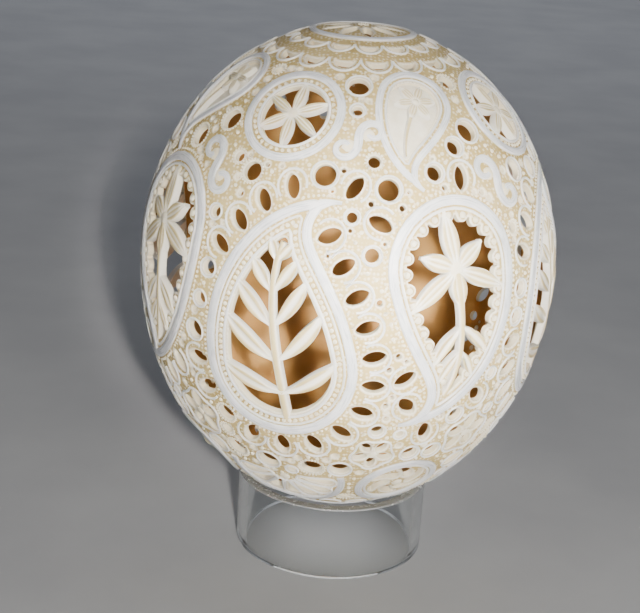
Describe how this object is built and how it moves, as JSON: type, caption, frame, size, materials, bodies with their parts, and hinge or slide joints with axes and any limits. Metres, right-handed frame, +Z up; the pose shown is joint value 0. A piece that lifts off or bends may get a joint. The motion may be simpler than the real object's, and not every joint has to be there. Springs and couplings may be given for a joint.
{
  "type": "carved ostrich egg on a ring stand",
  "caption": "Hollow ostrich egg, carved and pierced with paisley windows, stars and lace, resting upright in a short clear ring.",
  "frame": {"origin": "middle of the ring's foot, on the surface that it stands on", "axes": "+Z up along the egg's axis, -Y towards the front"},
  "size_m": [0.1295, 0.1299, 0.17],
  "materials": {
    "eggshell": "satin",
    "clear_acrylic": "polished"
  },
  "bodies": {
    "root": {"egg": "eggshell", "ring_stand": "clear_acrylic"}
  },
  "joints": []
}
